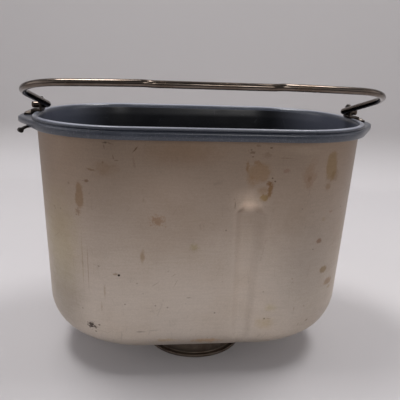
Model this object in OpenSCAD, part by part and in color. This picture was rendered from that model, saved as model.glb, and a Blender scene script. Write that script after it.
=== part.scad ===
// Removable baking pan: a deep drawn pan with a folded rim, a wire bail on two
// riveted brackets, a pressed foot ring, and a bottom drive that turns a
// lift-off kneading paddle.
// The origin is the centre of the foot ring, on the surface it stands on.
// +X runs along the long side, +Z is up.

/* [Pan] */
// Length of the pan body over its outer faces, at the flange
pan_length = 185; // [150:1:230]
// Width of the pan body over its outer faces, at the flange
pan_width = 115; // [95:1:150]
// Height of the rim's crown above the surface the pan stands on
rim_z = 147.3; // [120:0.1:190]
// Thickness of the drawn sheet
sheet = 1.5; // [1:0.1:2]
// Lean of the two end walls from upright, in degrees
end_draft = 0.9; // [0:0.1:4]
// Lean of the two long walls from upright, in degrees
side_draft = 4.1; // [0:0.1:6]
// Corner radius seen from above, at the flange
corner_top_r = 50.4; // [30:0.1:50.4]
// Corner radius seen from above, at the bottom
corner_low_r = 44.8; // [25:0.1:46]
// Radius between an end wall and the bottom
end_bottom_r = 24; // [12:0.5:32]
// Radius between a long wall and the bottom
side_bottom_r = 11.5; // [6:0.5:18]

/* [Rim] */
// Height of the rim's crown above the flange
lip_rise = 2; // [1.5:0.1:3]
// Distance of the crown outside the body's face, on a long side
crown_out_side = 2.1; // [1.5:0.1:3]
// Distance of the crown outside the body's face, at an end
crown_out_end = 0.6; // [0:0.1:1.5]
// Thickness of the flange and its skirt
flange_sheet = 1.2; // [0.8:0.1:1.6]
// Distance of the skirt's outer face outside the body's face
skirt_out = 3.4; // [3:0.1:5]
// Depth of the skirt below the rim's crown, along the sides
skirt_drop = 6.3; // [5:0.1:10]
// Depth of the skirt below the rim's crown, at the tips of the ears
ear_drop = 5.2; // [4.6:0.1:10]
// Distance of an ear's tip beyond the body's end face
ear_reach = 11.7; // [9.5:0.1:14]
// Radius between an ear's end edge and its slanted edges, seen from above
ear_corner_r = 15; // [4:0.5:18]

/* [Kneading ribs] */
// Distance of each rib from the middle of its wall
rib_x = 22.5; // [15:0.5:27]
// Depth of a rib at its top
rib_depth = 3.3; // [2:0.1:5]
// Depth of a rib near its foot
rib_low_depth = 1.3; // [0.5:0.1:2]
// Height of the full-depth top end of a rib
rib_top_z = 102.5; // [70:0.5:115]
// Height over which a rib's top end fades into the wall
rib_fade = 14; // [8:0.5:18]

/* [Bail] */
// Diameter of the bail's wire
wire_d = 3.5; // [3:0.1:4.5]
// Height of the bail's pivot above the rim's crown
pivot_rise = 3.3; // [3.1:0.1:6]
// Angle of the bail above level, in the pose it is stored in
bail_lift = 15.2; // [0:0.1:90]
// Length of a straight arm of the bail
bail_arm = 30.6; // [15:0.1:50]
// Radius of the bail's two large bends
bail_bend_r = 24; // [10:0.5:35]
// Outward splay of an arm, in degrees
arm_splay = 7.2; // [0:0.1:10]
// Half of the length of the straight grip
grip_half = 27; // [15:0.5:35]
// Radius of the small bends beside the grip
jog_r = 9; // [6:0.5:24]
// Angle of the small bends beside the grip
jog_angle = 21; // [4:1:30]
// Length of wire that shows outside each bracket
tip_show = 4.5; // [2:0.5:8]

/* [Brackets] */
// Thickness of a bracket
bracket_sheet = 1.1; // [0.8:0.1:1.3]
// Radius of a bracket's upright tab around the pivot
tab_r = 4.7; // [3.6:0.1:7]
// Distance of a tab's inner face inside the body's end face
tab_in = 1.1; // [0:0.1:2]
// Length of a bracket's base along the ear
base_width = 12; // [10:0.5:16]
// Distance between the two rivets of a bracket
bracket_pitch = 7; // [5:0.1:9]
// Radius of the bracket rivets' shanks
small_rivet_r = 1.2; // [0.8:0.1:1.6]

/* [Foot ring] */
// Height of the pan's bottom above the surface it stands on
foot_h = 15.6; // [12:0.1:24]
// Outer radius of the foot
foot_r = 32.4; // [28:0.1:40]
// Thickness of the foot ring's sheet
foot_sheet = 1.2; // [0.8:0.1:1.6]
// Width of the foot outside the ring's wall
foot_lip = 3.4; // [2.8:0.1:6]
// Height of the turned-up edge of the foot
foot_edge_h = 2; // [1.5:0.1:3]
// Outer radius of the flange under the pan's bottom
seat_r = 36.4; // [33:0.1:42]
// Width of the two bayonet notches
notch_width = 15; // [8:0.5:20]
// Radius of the large rivets' shanks
rivet_r = 1.6; // [1:0.1:2]

/* [Drive] */
// Diameter of the drive shaft
shaft_d = 8; // [6:0.1:10]
// Radial clearance of the shaft in its bushes
shaft_clear = 0.04; // [0.02:0.01:0.08]
// Outer radius of the bushes
bush_r = 6.5; // [5.8:0.1:8]
// Length of each bush
bush_len = 5; // [3:0.5:6]
// Outer radius of the housing's neck
neck_r = 10; // [9:0.1:12]
// Height of the neck above the pan's bottom sheet
neck_h = 6.9; // [6:0.1:12]
// Outer radius of the housing's flange
housing_r = 22; // [20:0.5:25]
// Thickness of the housing's flange
housing_t = 2.5; // [2:0.1:3.5]
// Radius of the circle that the housing's rivets sit on
housing_pcr = 17; // [16:0.1:19]
// Length of the coupling over its two wings
coupling_span = 26; // [22:0.5:34]
// Width of the coupling's wings
coupling_width = 6.5; // [5:0.5:8]

/* [Paddle] */
// Reach of the blade from the shaft's axis
blade_reach = 34; // [24:0.5:36]
// Height of the blade
blade_h = 23; // [14:0.5:30]
// Thickness of the blade
blade_t = 3; // [2:0.1:5]
// Radial clearance of the paddle on the shaft
paddle_clear = 0.1; // [0.05:0.01:0.1]
// Length of shaft inside the paddle
seat_len = 17.4; // [12:0.1:24]

/* [Hidden] */
$fn = 48;
// Gap that keeps pieces on different bodies apart
gap = 0.3;
// Excess of a cut past the faces it goes through
past = 1;

// --- pan
half_len = pan_length / 2;
half_wid = pan_width / 2;
ear_tip = half_len + ear_reach;
flange_z = rim_z - lip_rise;
under_z = flange_z - flange_sheet;
floor_z = foot_h + sheet;
corner_n = 11;
corner_step = 90 / corner_n;
// The ear's straight slant meets the corner's arc at this step
slant_step = 4;
slant = slant_step * corner_step;
// The ends keep a straight length of at least this much on either side of the middle
end_flat = 7.1;
corner_top = min(corner_top_r, half_wid - end_flat);
corner_low = min(corner_low_r, corner_top);

// --- bail and brackets
wire_r = wire_d / 2;
pivot_z = rim_z + pivot_rise;
pivot_clear = 0.05;
tab_x = half_len - tab_in;
tab_out_x = tab_x + bracket_sheet;
tip_x = tab_out_x + tip_show;
leg_bend_r = wire_r + 1.25;
leg_len = tip_x - tab_x + 0.35;
bow_start = 6.5;
bow_end = 3.5;
base_in_x = half_len + 3.3;
base_out_x = half_len + 8.3;
base_rivet_x = (base_in_x + bracket_sheet + base_out_x) / 2;
head_t = 0.9;

// --- drive stack, from the pan's bottom sheet
shaft_r = shaft_d / 2;
neck_top = floor_z + neck_h;
housing_low = foot_h - housing_t;
boss_drop = 2.3;
boss_z = housing_low - boss_drop;
bush_flange = 0.8;
bush_flange_r = bush_r + 1.1;
washer_t = 0.95;
clip_t = 0.8;
clip_groove = 0.8;
play = 0.1;
washer_z = boss_z - bush_flange - play - washer_t;
clip_z = washer_z - clip_t;
coupling_top = clip_z - 0.5;
coupling_low = 1.2;
wing_step = 1.45;
wing_h = coupling_top - coupling_low - wing_step;
pin_r = 1.25;
pin_z = (coupling_low + coupling_top) / 2;
seal_h = 2.6;
seal_r = bush_r + 1.5;
cap_t = 0.8;
collar_z = neck_top + cap_t + gap;
collar_t = 1.5;
collar_r = shaft_r + 1.6;
paddle_z = collar_z + collar_t + gap;
shaft_top = paddle_z + seat_len;
shaft_low = coupling_low + 0.6;
flat_depth = 0.8;
blade_z = floor_z + 2.2;
hub_r = neck_r + 3;
hub_top = shaft_top + 2;

// ---------------------------------------------------------------- pan shell

// Half length and half width of the outer body at height z, walls only
function wall_len(z) = half_len - (flange_z - z) * tan(end_draft);
function wall_wid(z) = half_wid - (flange_z - z) * tan(side_draft);
function corner_r(z) = let(t = (z - foot_h) / (flange_z - foot_h))
    corner_low + (corner_top - corner_low) * t;
// How far a bottom radius pulls a wall in at height h above the bottom
function pull_in(radius, h) = h >= radius ? 0
    : radius - sqrt(radius * radius - (radius - h) * (radius - h));
// Depth of a rib: shallow at its foot, deepest at its top, where a sloping shoulder ends it
function ramp(t) = min(1, max(0, t));
function shoulder(z) = let(u = ramp((z - rib_top_z) / rib_fade)) (1 - u) * (1 - u);
function rib_at(z) = let(t = ramp((z - foot_h) / (rib_top_z - foot_h)))
    (rib_low_depth + (rib_depth - rib_low_depth) * t) * ramp((z - foot_h) / side_bottom_r) * shoulder(z);
function rib_half(depth) = 3 + 2 * depth;
// The corners stay clear of the ribs on a short pan
function corner_limit(a, depth) = a - rib_x - rib_half(depth) - 1;

// A ring is [half length, half width, corner radius, z, rib depth, ear tip x, ear z].
// Without an ear, the ear's tip x is 0.
function body_ring(z, inset, lift) =
    let(a = wall_len(z) - pull_in(end_bottom_r, z - foot_h) - inset,
        b = wall_wid(z) - pull_in(side_bottom_r, z - foot_h) - inset)
    [a, b, min(corner_r(z) - inset, b - 0.5, corner_limit(a, rib_at(z))), z + lift, rib_at(z), 0, 0];
function rim_ring(end_out, side_out, z) =
    [half_len + end_out, half_wid + side_out,
     corner_top + (end_out + side_out) / 2, z, 0, 0, 0];
function ear_ring(inset, z, z_tip) =
    let(out = skirt_out - inset)
    [half_len + out, half_wid + out, corner_top + out, z, 0, ear_tip - inset, z_tip];

// Point e of a ring's quarter outline, counted from the end towards the side
function quarter(ring, e) =
    let(cx = ring[0] - ring[2], cy = ring[1] - ring[2], r = ring[2], tip = ring[5])
    tip > 0 && e < slant_step ? slant_point(cx, cy, r, tip, e, ring[6])
    : [cx + r * cos(corner_step * e), cy + r * sin(corner_step * e), ring[3]];
// The slant leaves the arc as a tangent and meets the ear's end edge in a fillet
function slant_point(cx, cy, r, tip, e, z) =
    let(tx = cx + r * cos(slant), ty = cy + r * sin(slant),
        ky = ty - (tip - tx) / tan(slant),
        fy = ky - ear_corner_r * tan(slant / 2),
        turn = slant * e / (slant_step - 1))
    [tip - ear_corner_r * (1 - cos(turn)), fy + ear_corner_r * sin(turn), z];

// Stations along a long side: at the rib, in rib half widths, and beside it
rib_steps = [-1, -0.8, -0.6, -0.4, 0, 0.4, 0.6, 0.8, 1];
plain_steps = [-0.72, -0.4, -0.08];
// A rib is flat for the middle quarter of its width
function bump(u) = (1 + cos(180 * ramp((abs(u) - 0.25) / 0.75))) / 2;
function side_points(ring) =
    let(span = ring[0] - ring[2], w = rib_half(ring[4]))
    concat([for (s = plain_steps) [s * span, -ring[1], ring[3]]],
           [for (u = rib_steps) [rib_x + u * w, -ring[1] + ring[4] * bump(u), ring[3]]],
           [[(span + rib_x + rib_half(rib_depth)) / 2, -ring[1], ring[3]]]);
// Half of a ring, from the -X end's flat to the +X end's flat
function half_ring(ring) =
    concat([for (e = [0:corner_n]) let(q = quarter(ring, e)) [-q[0], -q[1], q[2]]],
           side_points(ring),
           [for (e = [corner_n:-1:0]) let(q = quarter(ring, e)) [q[0], -q[1], q[2]]]);
// The two halves are the same under half a turn about Z
function full_ring(ring) = let(h = half_ring(ring)) concat(h, [for (p = h) [-p[0], -p[1], p[2]]]);

// Heights of the rings: round the bottom radius, then up the wall
bottom_steps = [0:15:90];
wall_levels = concat([45, 75], [for (k = [-1:4]) rib_top_z + k * rib_fade / 4], [under_z - 3]);
rising = concat([for (t = bottom_steps) foot_h + end_bottom_r * (1 - cos(t))], wall_levels);
skirt_in = flange_sheet;
outer_rings = [for (z = rising) body_ring(z, 0, 0)];
rim_rings = [
    rim_ring(0.3, 0.3, under_z - 0.6),
    rim_ring(0.9, 0.9, under_z),
    ear_ring(skirt_in, under_z, under_z),
    ear_ring(skirt_in, rim_z - skirt_drop, rim_z - ear_drop),
    ear_ring(0, rim_z - skirt_drop, rim_z - ear_drop),
    ear_ring(0, flange_z - 0.9, flange_z - 0.9),
    ear_ring(0.25, flange_z - 0.25, flange_z - 0.25),
    ear_ring(0.8, flange_z, flange_z),
    rim_ring(crown_out_end + 1.9, crown_out_side, flange_z),
    rim_ring(crown_out_end + 1.8, crown_out_side + 0.8, flange_z + lip_rise * 0.3),
    rim_ring(crown_out_end + 1.3, crown_out_side + 0.75, flange_z + lip_rise * 0.65),
    rim_ring(crown_out_end + 0.7, crown_out_side + 0.4, flange_z + lip_rise * 0.92),
    rim_ring(crown_out_end, crown_out_side, rim_z),
    rim_ring(crown_out_end - 0.8, crown_out_side - 1, rim_z - 0.15),
    rim_ring(-0.8, 0, rim_z - 1),
    rim_ring(-1.3, -0.9, rim_z - 2.2)];
falling = [for (i = [len(rising) - 1:-1:0]) rising[i]];
inner_rings = [for (z = falling) body_ring(z, sheet, z < foot_h + end_bottom_r
    ? sheet * (1 - (z - foot_h) / end_bottom_r) : 0)];
shell_rings = concat(outer_rings, rim_rings, inner_rings);
ring_n = len(full_ring(shell_rings[0]));

module drawn_shell() {
    rows = len(shell_rings);
    points = [for (ring = shell_rings) each full_ring(ring)];
    bottom = [for (i = [0:ring_n - 1]) i];
    floor_face = [for (i = [ring_n - 1:-1:0]) (rows - 1) * ring_n + i];
    bands = [for (j = [0:rows - 2], i = [0:ring_n - 1])
        let(n = (i + 1) % ring_n, p = j * ring_n)
        each [[p + i, p + i + ring_n, p + n + ring_n], [p + i, p + n + ring_n, p + n]]];
    polyhedron(points, concat([bottom], bands, [floor_face]), convexity = 6);
}

module pan_shell() {
    color([0.62, 0.57, 0.52])
    difference() {
        drawn_shell();
        translate([0, 0, foot_h - past]) cylinder(h = sheet + 2 * past, r = neck_r);
        on_circle(3, housing_pcr, 90) shank_cut(foot_h, sheet, rivet_r);
        on_circle(4, foot_rivet_r, 45) shank_cut(foot_h, sheet, rivet_r);
        for (side = [-1, 1]) bracket_rivet_places(side) shank_cut(under_z, flange_sheet, small_rivet_r);
    }
}

// ------------------------------------------------------------ rivets, shared

module on_circle(count, radius, start) {
    for (k = [0:count - 1]) rotate([0, 0, start + k * 360 / count]) translate([radius, 0, 0]) children();
}

module shank_cut(z, thickness, radius) {
    translate([0, 0, z - past]) cylinder(h = thickness + 2 * past, r = radius);
}

// A rivet that holds what lies between low and high, with a domed head on top
module rivet(low, high, radius) {
    head_r = radius * 1.8;
    translate([0, 0, low]) cylinder(h = high - low, r = radius);
    translate([0, 0, high]) rotate_extrude() intersection() {
        translate([0, head_t - head_r * 1.4]) circle(r = head_r * 1.4);
        square([head_r, head_t]);
    }
    translate([0, 0, low - head_t * 0.7]) cylinder(h = head_t * 0.7, r = head_r * 0.85);
}

// ---------------------------------------------------------- bail and brackets

module bracket_rivet_places(side) {
    for (y = [-1, 1]) translate([side * base_rivet_x, y * bracket_pitch / 2, 0]) children();
}

// One bracket, for the +X end: a base on the ear, a step over the rim, a tab
module bracket_form() {
    step_x = base_in_x + bracket_sheet;
    difference() {
        union() {
            translate([0, base_width / 2, 0]) rotate([90, 0, 0]) linear_extrude(base_width)
                polygon([[base_out_x, flange_z], [base_out_x, flange_z + bracket_sheet],
                         [step_x, flange_z + bracket_sheet], [step_x, rim_z + bracket_sheet],
                         [tab_x + 0.6, rim_z + bracket_sheet], [tab_x + 0.6, rim_z],
                         [base_in_x, rim_z], [base_in_x, flange_z]]);
            translate([tab_x, 0, pivot_z]) rotate([90, 0, 90]) linear_extrude(bracket_sheet) tab_outline();
        }
        translate([tab_x - past, 0, pivot_z]) rotate([0, 90, 0])
            cylinder(h = bracket_sheet + 2 * past, r = wire_r + pivot_clear);
        translate([base_in_x + past, 0, flange_z + bracket_sheet]) rotate([0, -90, 0]) base_trim();
        bracket_rivet_places(1) shank_cut(flange_z, bracket_sheet, small_rivet_r);
    }
}

// A tab seen along X, with its pivot at the origin and its foot on the rim
module tab_outline() {
    foot = pivot_z - rim_z;
    toe = base_width / 2 - 1;
    intersection() {
        union() {
            circle(r = tab_r);
            translate([-tab_r, -foot]) square([2 * tab_r, foot]);
            polygon([[-tab_r, -foot + 2.4], [-toe, -foot + bracket_sheet], [-toe, -foot],
                     [toe, -foot], [toe, -foot + bracket_sheet], [tab_r, -foot + 2.4]]);
        }
        translate([-toe, -foot]) square([2 * toe, foot + tab_r]);
    }
}

// Trims the two corners of the step, so that it narrows towards the tab
module base_trim() {
    for (y = [-1, 1]) translate([-past, y * base_width / 2, 0]) rotate([0, 0, 45])
        translate([-1, -1, 0]) cube([2, 2, half_len - tab_x + 20]);
}

module left_bracket() { color([0.35, 0.33, 0.31]) mirror([1, 0, 0]) bracket_form(); }
module right_bracket() { color([0.35, 0.33, 0.31]) bracket_form(); }

module bracket_rivets(side) {
    color([0.25, 0.23, 0.22]) bracket_rivet_places(side)
        rivet(under_z, flange_z + bracket_sheet, small_rivet_r);
}
module left_bracket_rivets() { bracket_rivets(-1); }
module right_bracket_rivets() { bracket_rivets(1); }

// A move is [length, 0] for a straight, or [radius, turn] for a bend; a positive
// turn is to the left. The wire starts along +X.
function heading(moves, k) = k == 0 ? 0 : heading(moves, k - 1) + moves[k - 1][1];
function travel(move, h) = move[1] == 0 ? move[0] * [cos(h), sin(h)]
    : sign(move[1]) * move[0] * [sin(h + move[1]) - sin(h), cos(h) - cos(h + move[1])];
function reach(moves, k) = k == 0 ? [0, 0]
    : reach(moves, k - 1) + travel(moves[k - 1], heading(moves, k - 1));

// Every second length of wire is a hair thinner and ends inside its neighbours
seam = 0.01;
seam_lap = 0.1;
module wire(moves, k = 0) {
    if (k < len(moves)) {
        size = moves[k][0];
        turn = moves[k][1];
        r = wire_r - (k % 2) * seam;
        lap = (1 - k % 2) * seam_lap;
        if (turn == 0) {
            translate([-lap, 0, 0]) rotate([0, 90, 0]) cylinder(h = size + 2 * lap, r = r);
            translate([size, 0, 0]) wire(moves, k + 1);
        } else {
            side = sign(turn);
            lap_turn = lap * 180 / (PI * size);
            mirror([0, side < 0 ? 1 : 0, 0]) translate([0, size, 0]) rotate([0, 0, -90 - lap_turn])
                rotate_extrude(angle = abs(turn) + 2 * lap_turn) translate([size, 0]) circle(r = r);
            translate([0, side * size, 0]) rotate([0, 0, turn]) translate([0, -side * size, 0])
                wire(moves, k + 1);
        }
    }
}

// Half of the bail, from a tip to the start of the bowed bar
arm_moves = [[leg_len, 0], [leg_bend_r, -90 - arm_splay], [bail_arm, 0],
             [bail_bend_r, 90 + arm_splay - bow_start]];
bow_x = tip_x - reach(arm_moves, len(arm_moves))[0];
jog_x = grip_half + jog_r * (2 * sin(jog_angle) + sin(bow_end));
bow_r = (bow_x - jog_x) / (sin(bow_start) - sin(bow_end));
bow_moves = [[bow_r, bow_start - bow_end], [jog_r, bow_end + jog_angle], [jog_r, -jog_angle]];
left_moves = concat(arm_moves, bow_moves, [[2 * grip_half, 0]]);
right_moves = concat(arm_moves, bow_moves);

module bail_handle() {
    color([0.45, 0.42, 0.39])
    translate([0, 0, pivot_z]) rotate([-bail_lift, 0, 0]) {
        translate([-tip_x, 0, 0]) wire(left_moves);
        mirror([1, 0, 0]) translate([-tip_x, 0, 0]) wire(right_moves);
    }
}

// ------------------------------------------------- tongue under the left ear

tongue_w = 3;
tongue_t = 1;
curl_r = 1.3;
skirt_tip_z = rim_z - ear_drop;
tongue_route = [[-3.4, under_z - tongue_t / 2], [-3.4, skirt_tip_z - 1.3], [-1, skirt_tip_z - 1.5],
                [1.4, skirt_tip_z - 2.5]];
tongue_end = [2.2, skirt_tip_z - 3.1];

// A strip of sheet seen on edge, rounded where it bends
module strip_outline(route, thickness) {
    for (k = [0:len(route) - 2]) {
        step = route[k + 1] - route[k];
        translate(route[k]) rotate([0, 0, atan2(step[1], step[0])])
            translate([0, -thickness / 2]) square([norm(step), thickness]);
        translate(route[k]) circle(r = thickness / 2);
    }
}

module under_ear_tongue() {
    slant_r = corner_top + skirt_out;
    tx = half_len - corner_top + slant_r * cos(slant);
    ty = half_wid - corner_top + slant_r * sin(slant);
    along = (ear_tip - tx) / sin(slant) * 0.58;
    color([0.12, 0.11, 0.1])
    translate([-tx - along * sin(slant), -ty + along * cos(slant), 0]) rotate([0, 0, 180 + slant])
        translate([0, tongue_w / 2, 0]) rotate([90, 0, 0]) linear_extrude(tongue_w) {
            strip_outline(concat(tongue_route, [tongue_end]), tongue_t);
            translate(tongue_end) circle(r = curl_r);
        }
}

// -------------------------------------------------------------- foot ring

wall_r = foot_r - foot_lip;
bore_r = wall_r - foot_sheet;
foot_rivet_r = (wall_r + seat_r) / 2;

module foot_ring() {
    color([0.33, 0.31, 0.29])
    difference() {
        rotate_extrude() {
            translate([bore_r, 0]) square([foot_sheet, foot_h]);
            translate([bore_r, foot_h - foot_sheet]) square([seat_r - bore_r, foot_sheet]);
            translate([bore_r, 0]) square([foot_r - bore_r, foot_sheet]);
            translate([foot_r - foot_sheet, 0]) square([foot_sheet, foot_edge_h]);
        }
        for (side = [0, 180]) rotate([0, 0, side]) translate([wall_r, -notch_width / 2, -past])
            cube([foot_lip + past, notch_width, foot_edge_h + 2 * past]);
        on_circle(4, foot_rivet_r, 45) shank_cut(foot_h - foot_sheet, foot_sheet, rivet_r);
    }
}

module foot_ring_rivets() {
    color([0.5, 0.49, 0.47]) on_circle(4, foot_rivet_r, 45) rivet(foot_h - foot_sheet, floor_z, rivet_r);
}

// -------------------------------------------------------- bearing and seal

module bearing_housing() {
    color([0.6, 0.6, 0.6])
    difference() {
        union() {
            rotate_extrude() polygon([[bush_r, boss_z], [neck_r - 0.8, boss_z], [neck_r, boss_z + 0.8],
                [neck_r, housing_low], [housing_r - 0.6, housing_low], [housing_r, housing_low + 0.6],
                [housing_r, foot_h], [neck_r, foot_h], [neck_r, neck_top - 0.6], [neck_r - 0.6, neck_top],
                [seal_r, neck_top], [seal_r, neck_top - seal_h], [bush_r, neck_top - seal_h]]);
            on_circle(3, 0, 30) rotate([90, 0, 0]) translate([0, 0, -0.9]) linear_extrude(1.8)
                polygon([[neck_r - 0.5, boss_z + 0.8], [housing_r - 3, housing_low],
                         [housing_r - 3, housing_low + 0.2], [neck_r - 0.5, housing_low + 0.2]]);
        }
        on_circle(3, housing_pcr, 90) shank_cut(housing_low, housing_t, rivet_r);
    }
}

module housing_rivets() {
    color([0.5, 0.49, 0.47]) on_circle(3, housing_pcr, 90) rivet(housing_low, floor_z, rivet_r);
}

module bush(low) {
    color([0.6, 0.45, 0.25]) translate([0, 0, low]) difference() {
        cylinder(h = bush_len, r = bush_r);
        translate([0, 0, -past]) cylinder(h = bush_len + 2 * past, r = shaft_r + shaft_clear);
    }
}

module lower_bush() {
    bush(boss_z);
    color([0.6, 0.45, 0.25]) translate([0, 0, boss_z - bush_flange]) difference() {
        cylinder(h = bush_flange, r = bush_flange_r);
        translate([0, 0, -past]) cylinder(h = bush_flange + 2 * past, r = shaft_r + shaft_clear);
    }
}

module upper_bush() { bush(neck_top - seal_h - bush_len); }

module shaft_seal() {
    color([0.2, 0.2, 0.2]) translate([0, 0, neck_top - seal_h]) rotate_extrude()
        polygon([[shaft_r + 0.6, 0], [seal_r, 0], [seal_r, seal_h], [shaft_r + 1.6, seal_h],
                 [shaft_r + 1.6, seal_h - 0.7], [shaft_r + 0.05, seal_h - 0.4],
                 [shaft_r + 0.05, seal_h - 1], [shaft_r + 0.6, seal_h - 1.4]]);
}

module seal_cap() {
    color([0.62, 0.62, 0.62]) translate([0, 0, neck_top]) difference() {
        cylinder(h = cap_t, r = neck_r - 0.6);
        translate([0, 0, -past]) cylinder(h = cap_t + 2 * past, r = shaft_r + 0.5);
    }
}

// ------------------------------------------------------------------ drive

module drive_shaft() {
    color([0.72, 0.72, 0.73])
    difference() {
        union() {
            translate([0, 0, shaft_low]) cylinder(h = shaft_top - 0.6 - shaft_low, r = shaft_r);
            translate([0, 0, shaft_top - 0.6]) rotate_extrude()
                polygon([[0, 0], [shaft_r, 0], [shaft_r - 0.6, 0.6], [0, 0.6]]);
            translate([0, 0, collar_z]) cylinder(h = collar_t, r = collar_r);
        }
        translate([shaft_r - flat_depth, -shaft_r, paddle_z + 0.6]) cube([shaft_r, shaft_d, seat_len + past]);
        translate([0, 0, clip_z]) difference() {
            cylinder(h = clip_t, r = shaft_r + past);
            translate([0, 0, -past]) cylinder(h = clip_t + 2 * past, r = shaft_r - clip_groove);
        }
        translate([0, shaft_r + past, pin_z]) rotate([90, 0, 0]) cylinder(h = shaft_d + 2 * past, r = pin_r);
    }
}

module thrust_washer() {
    color([0.55, 0.55, 0.55]) translate([0, 0, washer_z]) difference() {
        cylinder(h = washer_t, r = bush_flange_r);
        translate([0, 0, -past]) cylinder(h = washer_t + 2 * past, r = shaft_r + play);
    }
}

module shaft_clip() {
    lug = shaft_r - clip_groove;
    color([0.2, 0.2, 0.22]) translate([0, 0, clip_z]) difference() {
        cylinder(h = clip_t, r = shaft_r + 2.2);
        translate([0, 0, -past]) cylinder(h = clip_t + 2 * past, r = lug);
        translate([-lug * 0.85, -shaft_r - 3, -past]) cube([lug * 1.7, shaft_r + 3, clip_t + 2 * past]);
    }
}

module drive_coupling() {
    color([0.45, 0.45, 0.46])
    difference() {
        union() {
            translate([0, 0, coupling_low]) cylinder(h = coupling_top - coupling_low, r = shaft_r + 3.5);
            intersection() {
                translate([-coupling_span / 2, -coupling_width / 2, coupling_low])
                    cube([coupling_span, coupling_width, wing_h]);
                translate([0, 0, coupling_low]) cylinder(h = wing_h, r = coupling_span / 2);
            }
        }
        translate([0, 0, coupling_low - past])
            cylinder(h = coupling_top - coupling_low + 2 * past, r = shaft_r);
        translate([0, shaft_r + 5, pin_z]) rotate([90, 0, 0]) cylinder(h = shaft_d + 10, r = pin_r);
    }
}

module coupling_pin() {
    color([0.3, 0.3, 0.32]) translate([0, shaft_r + 3, pin_z]) rotate([90, 0, 0])
        cylinder(h = shaft_d + 6, r = pin_r);
}

module kneading_paddle() {
    bore = shaft_r + paddle_clear;
    color([0.3, 0.31, 0.34])
    difference() {
        union() {
            rotate_extrude() polygon([[0, blade_z], [hub_r - 0.6, blade_z], [hub_r, blade_z + 0.6],
                [hub_r - 0.6, paddle_z], [shaft_r + 5, paddle_z + 5], [shaft_r + 4, hub_top - 1],
                [shaft_r + 3, hub_top], [0, hub_top]]);
            translate([0, blade_t / 2, 0]) rotate([90, 0, 0]) linear_extrude(blade_t) blade_outline();
        }
        translate([0, 0, blade_z - past]) cylinder(h = paddle_z - blade_z + past, r = neck_r + 1);
        difference() {
            translate([0, 0, paddle_z - past]) cylinder(h = hub_top - paddle_z + 2 * past, r = bore);
            translate([shaft_r - flat_depth + paddle_clear, -bore, paddle_z + 0.8])
                cube([bore, 2 * bore, hub_top - paddle_z + past]);
        }
    }
}

// The blade seen along Y: level at the bottom, with a swept outer edge
module blade_outline() {
    lean = 6;
    intersection() {
        translate([hub_r - 3, blade_z]) square([blade_reach - hub_r + 3, blade_h]);
        translate([lean, blade_z]) circle(r = blade_reach - lean);
    }
}

pan_shell();
left_bracket();
right_bracket();
left_bracket_rivets();
right_bracket_rivets();
bail_handle();
under_ear_tongue();
foot_ring();
foot_ring_rivets();
bearing_housing();
housing_rivets();
lower_bush();
upper_bush();
shaft_seal();
seal_cap();
drive_shaft();
thrust_washer();
shaft_clip();
drive_coupling();
coupling_pin();
kneading_paddle();
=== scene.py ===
"""Looks of a bread machine's baking pan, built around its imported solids."""
import logging
import math
from collections.abc import Callable, Iterable
from dataclasses import dataclass
from enum import Enum

import bmesh
import bpy
from mathutils import Matrix, Vector


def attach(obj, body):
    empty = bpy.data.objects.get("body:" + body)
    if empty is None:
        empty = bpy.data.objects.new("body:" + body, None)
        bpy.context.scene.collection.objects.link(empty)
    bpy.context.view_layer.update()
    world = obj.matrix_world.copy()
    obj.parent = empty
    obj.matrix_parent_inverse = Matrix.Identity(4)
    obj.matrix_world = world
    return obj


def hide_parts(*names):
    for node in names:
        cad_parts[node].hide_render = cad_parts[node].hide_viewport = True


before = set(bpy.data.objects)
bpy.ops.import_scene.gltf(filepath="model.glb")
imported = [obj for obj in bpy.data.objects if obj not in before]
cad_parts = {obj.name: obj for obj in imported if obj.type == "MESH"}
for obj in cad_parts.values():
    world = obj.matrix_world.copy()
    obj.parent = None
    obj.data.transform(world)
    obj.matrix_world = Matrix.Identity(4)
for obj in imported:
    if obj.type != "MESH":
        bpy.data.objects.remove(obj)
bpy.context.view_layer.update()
LOG = logging.getLogger("pan")
MM = 0.001
# What counts as one point, as a flat surface and as a sharp edge when a solid's edges are rounded over.
SAME_PLACE = 1e-6
FLAT = math.radians(0.6)
SHARP = math.radians(38)

Colour = tuple[float, float, float]
Point = tuple[float, float]
Size = tuple[float, float, float]
Ring = list[Vector]
Feeds = dict[str | int, object]
Socket = bpy.types.NodeSocket
Node = bpy.types.Node
Tree = bpy.types.NodeTree
Material = bpy.types.Material
Mesh = bmesh.types.BMesh
Piece = bpy.types.Object


class Body(Enum):
    """The rigid bodies of the part."""

    PAN = "pan"
    BAIL = "bail"
    DRIVE = "drive"
    PADDLE = "paddle"


class Slot(Enum):
    """The record's material slots that the new pieces are listed with; none is set on a piece."""

    ALUMINIUM = "pan_aluminium"
    WIRE = "wire_steel"
    BRACKET = "bracket_steel"
    FOOT = "foot_steel"
    TONGUE = "tongue_steel"
    COATING = "paddle_coated"
    HOUSING = "housing_cast"
    COUPLING = "coupling_cast"


def srgb(colour: Colour) -> tuple[float, float, float, float]:
    """Turns a display colour of 0 to 255 into a linear one with full alpha."""
    shares = [v / 255 for v in colour]
    return (*(v / 12.92 if v <= 0.04045 else ((v + 0.055) / 1.055) ** 2.4 for v in shares), 1.0)


# --- node work


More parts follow.
